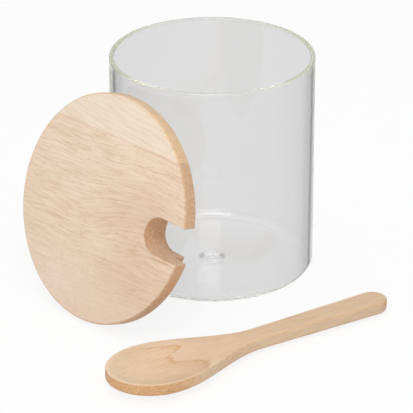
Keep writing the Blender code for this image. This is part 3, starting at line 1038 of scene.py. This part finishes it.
def vein(tree, space, tint):
    """A ragged brown line across the bowl, paler wood past it, and painted shade, yellowed, along the
    handle's rounded top edges.
    """
    split = tree.nodes.new("ShaderNodeSeparateXYZ")
    tree.links.new(space, split.inputs[0])
    line = tree.nodes.new("ShaderNodeFloatCurve")
    low, high = VEIN[0][0], VEIN[-1][0]
    across = add_node(tree, "ShaderNodeMapRange", **{"From Min": low, "From Max": high})
    tree.links.new(split.outputs[1], across.inputs["Value"])
    tree.links.new(across.outputs[0], line.inputs["Value"])
    curve = line.mapping.curves[0]
    for index, (y, x) in enumerate(VEIN):
        point = ((y - low) / (high - low), x / VEIN_SPAN)
        if 0 < index < len(VEIN) - 1:
            curve.points.new(*point)
        else:
            curve.points[0 if index == 0 else -1].location = point
    line.mapping.update()
    stray = noise(tree, space, STRAY_SCALE, STRAY_SEED, detail=3.0, roughness=0.6)
    stray = math_node(tree, "MULTIPLY_ADD", stray, STRAY, -STRAY / 2.0)
    past = math_node(tree, "MULTIPLY_ADD", line.outputs[0], -VEIN_SPAN, split.outputs[0])
    past = math_node(tree, "ADD", past, stray)
    past = math_node(tree, "MULTIPLY_ADD", past, 1.0 / RAMP_WIDTH, 0.5, clamp=True)
    brown = ramp(tree, past, BROWN_STOPS)
    feather = ramp(tree, noise(tree, space, FEATHER_SCALE, FEATHER_SEED, detail=3.0), FEATHER_STOPS)
    top_face = ramp(tree, face_value(tree, "end_grain"), TOP_STOPS)
    brown = math_node(tree, "MULTIPLY", math_node(tree, "MULTIPLY", brown, feather), top_face)
    faint = math_node(tree, "MULTIPLY", soft_spot(tree, space, PALE_CENTRE, PALE_REACH), PALE_DEPTH)
    faint = math_node(tree, "MULTIPLY", ramp(tree, past, PALE_STOPS), faint)
    tint = mix_colour(tree, faint, tint, PALE_WOOD)
    tint = mix_colour(tree, brown, tint, BROWN_WOOD)
    # Painted shade on the handle's rounded top edges
    yellow = mix_colour(tree, 1.0, tint, RIDGE_SHADE_TINT, "MULTIPLY")
    return mix_colour(tree, face_value(tree, "ridge"), tint, yellow)


class SUGARBOWL_OT_spoon(bpy.types.Operator):
    """Carve the wooden spoon"""

    bl_idname = "sugar_bowl.spoon"
    bl_label = "Wooden Spoon"

    def execute(self, context):
        sizes = context.scene.sugar_bowl_spoon
        location, rotation = spoon_pose(sizes)
        wood = wood_material("spoon_wood", sizes.honey, SPOON_LOOK, location, rotation, vein)
        body = bmesh.new()
        rings = []
        for x, inset in spoon_stations(sizes):
            rings.append([body.verts.new(point) for point in spoon_section(x, inset, sizes)])
        skin_rings(body, rings)
        bmesh.ops.remove_doubles(body, verts=body.verts, dist=WELD)
        bmesh.ops.dissolve_degenerate(body, edges=body.edges, dist=WELD)
        mesh = closed_mesh("carved_spoon", body)
        mark_end_grain_and_side_shade(mesh, lambda x: spoon_side(x / sizes.bowl_widest))
        mark_ridge(mesh, sizes.bowl_widest)
        mesh.transform(Matrix.Translation(location) @ Euler(rotation).to_matrix().to_4x4())
        finish_mesh(mesh, wood, SPOON_SHARP)
        spoon = new_object("carved_spoon", mesh)
        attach(spoon, "spoon")
        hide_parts("wooden_spoon")
        return {"FINISHED"}


# Stage: each lamp has the name of its power, a place, a target and a size

SUBJECT = (0.0, -0.05, 0.04)
LAMPS = (
    ("key", (-0.1, -0.95, 1.45), SUBJECT, (0.9, 0.9)),
    ("front", (0.0, -1.75, 0.25), SUBJECT, (0.9, 0.4)),
    ("strip", (0.0, 1.6, 1.04), (0.0, 0.0, 0.0), (0.03, 0.5)),
)
WHITE = (1.0, 1.0, 1.0, 1.0)
PAPER = (0.93, 0.93, 0.93, 1.0)
NEAREST, FARTHEST = 0.05, 50.0
BOUNCES = 256


def seen_level(tree, through):
    """1 for rays from the camera, another level for those that mirror off or pass through glass."""
    path = tree.nodes.new("ShaderNodeLightPath")
    bent = math_node(tree, "MAXIMUM", path.outputs["Is Glossy Ray"], path.outputs["Is Transmission Ray"])
    seen = math_node(tree, "MAXIMUM", path.outputs["Is Camera Ray"], bent)
    return seen, math_node(tree, "MULTIPLY_ADD", bent, through, path.outputs["Is Camera Ray"])


def floor_material(stage):
    """White paper that keeps a light shadow and looks a little greyer through the glass."""
    material = bpy.data.materials.new("white_paper")
    material.use_nodes = True
    tree = material.node_tree
    tree.nodes.clear()
    out = tree.nodes.new("ShaderNodeOutputMaterial")
    paper = add_node(tree, "ShaderNodeBsdfDiffuse", Color=PAPER)
    glow = add_node(tree, "ShaderNodeEmission", Color=WHITE)
    both = tree.nodes.new("ShaderNodeMixShader")
    seen, level = seen_level(tree, stage.through)
    tree.links.new(level, glow.inputs["Strength"])
    tree.links.new(math_node(tree, "MULTIPLY", seen, stage.glow), both.inputs[0])
    tree.links.new(paper.outputs[0], both.inputs[1])
    tree.links.new(glow.outputs[0], both.inputs[2])
    tree.links.new(both.outputs[0], out.inputs["Surface"])
    return material


def build_world(stage):
    world = bpy.data.worlds.new("studio")
    world.use_nodes = True
    tree = world.node_tree
    ground = tree.nodes["Background"]
    ground.inputs["Color"].default_value = WHITE
    seen, level = seen_level(tree, stage.through)
    unseen = math_node(tree, "SUBTRACT", 1.0, seen)
    tree.links.new(math_node(tree, "MULTIPLY_ADD", unseen, stage.fill, level), ground.inputs["Strength"])
    bpy.context.scene.world = world


def add_lamp(name, location, target, size, power):
    lamp = bpy.data.lights.new(name, "AREA")
    lamp.shape = "RECTANGLE"
    lamp.size, lamp.size_y = size
    lamp.energy = power
    holder = new_object(name, lamp)
    holder.location = location
    holder.rotation_euler = (Vector(location) - Vector(target)).to_track_quat("Z", "Y").to_euler()


def add_camera(stage):
    camera = bpy.data.cameras.new("photo_camera")
    camera.sensor_width = SENSOR
    camera.lens = FOCAL_PIXELS * SENSOR / IMAGE_SIDE
    camera.clip_start, camera.clip_end = NEAREST, FARTHEST
    holder = new_object("photo_camera", camera)
    tilt = stage.camera_height
    reach = stage.camera_distance
    holder.location = (stage.aim_x, -reach * math.cos(tilt), stage.aim_z + reach * math.sin(tilt))
    holder.rotation_euler = (math.pi / 2.0 - tilt, 0.0, 0.0)
    bpy.context.scene.camera = holder


class SUGARBOWL_OT_stage(bpy.types.Operator):
    """Set the floor, the light and the camera"""

    bl_idname = "sugar_bowl.stage"
    bl_label = "Stage"

    def execute(self, context):
        stage = context.scene.sugar_bowl_stage
        half = stage.floor_side / 2.0
        corners = ((-half, -half), (half, -half), (half, half), (-half, half))
        mesh = bpy.data.meshes.new("floor")
        mesh.from_pydata([(x, y, -FLOOR_GAP) for x, y in corners], [], [(0, 1, 2, 3)])
        mesh.materials.append(floor_material(stage))
        floor = new_object("floor", mesh)
        build_world(stage)
        for name, location, target, size in LAMPS:
            add_lamp(name, location, target, size, getattr(stage, name))
        add_camera(stage)
        context.scene.view_settings.view_transform = "Standard"
        context.scene.cycles.max_bounces = BOUNCES
        context.scene.cycles.glossy_bounces = BOUNCES
        context.scene.cycles.transmission_bounces = BOUNCES
        return {"FINISHED"}


class SUGARBOWL_PT_panel(bpy.types.Panel):
    """Sugar bowl pieces and stage"""

    bl_label = "Sugar Bowl"
    bl_idname = "SUGARBOWL_PT_panel"
    bl_space_type = "VIEW_3D"
    bl_region_type = "UI"
    bl_category = "Sugar Bowl"

    def draw(self, context):
        for operator, settings in STEPS:
            box = self.layout.box()
            box.operator(operator.bl_idname)
            group = getattr(context.scene, settings)
            for name in group.__annotations__:
                box.prop(group, name)


GROUPS = {
    "sugar_bowl_jar": SugarBowlJar,
    "sugar_bowl_lid": SugarBowlLid,
    "sugar_bowl_spoon": SugarBowlSpoon,
    "sugar_bowl_stage": SugarBowlStage,
}
STEPS = (
    (SUGARBOWL_OT_jar, "sugar_bowl_jar"),
    (SUGARBOWL_OT_lid, "sugar_bowl_lid"),
    (SUGARBOWL_OT_spoon, "sugar_bowl_spoon"),
    (SUGARBOWL_OT_stage, "sugar_bowl_stage"),
)
CLASSES = (*GROUPS.values(), *(operator for operator, _settings in STEPS), SUGARBOWL_PT_panel)


def register():
    for entry in CLASSES:
        bpy.utils.register_class(entry)
    for name, group in GROUPS.items():
        setattr(bpy.types.Scene, name, bpy.props.PointerProperty(type=group))


def unregister():
    for name in GROUPS:
        delattr(bpy.types.Scene, name)
    for entry in reversed(CLASSES):
        bpy.utils.unregister_class(entry)


def main():
    register()
    bpy.ops.sugar_bowl.jar()
    bpy.ops.sugar_bowl.lid()
    bpy.ops.sugar_bowl.spoon()
    bpy.ops.sugar_bowl.stage()


if __name__ == "__main__":
    main()
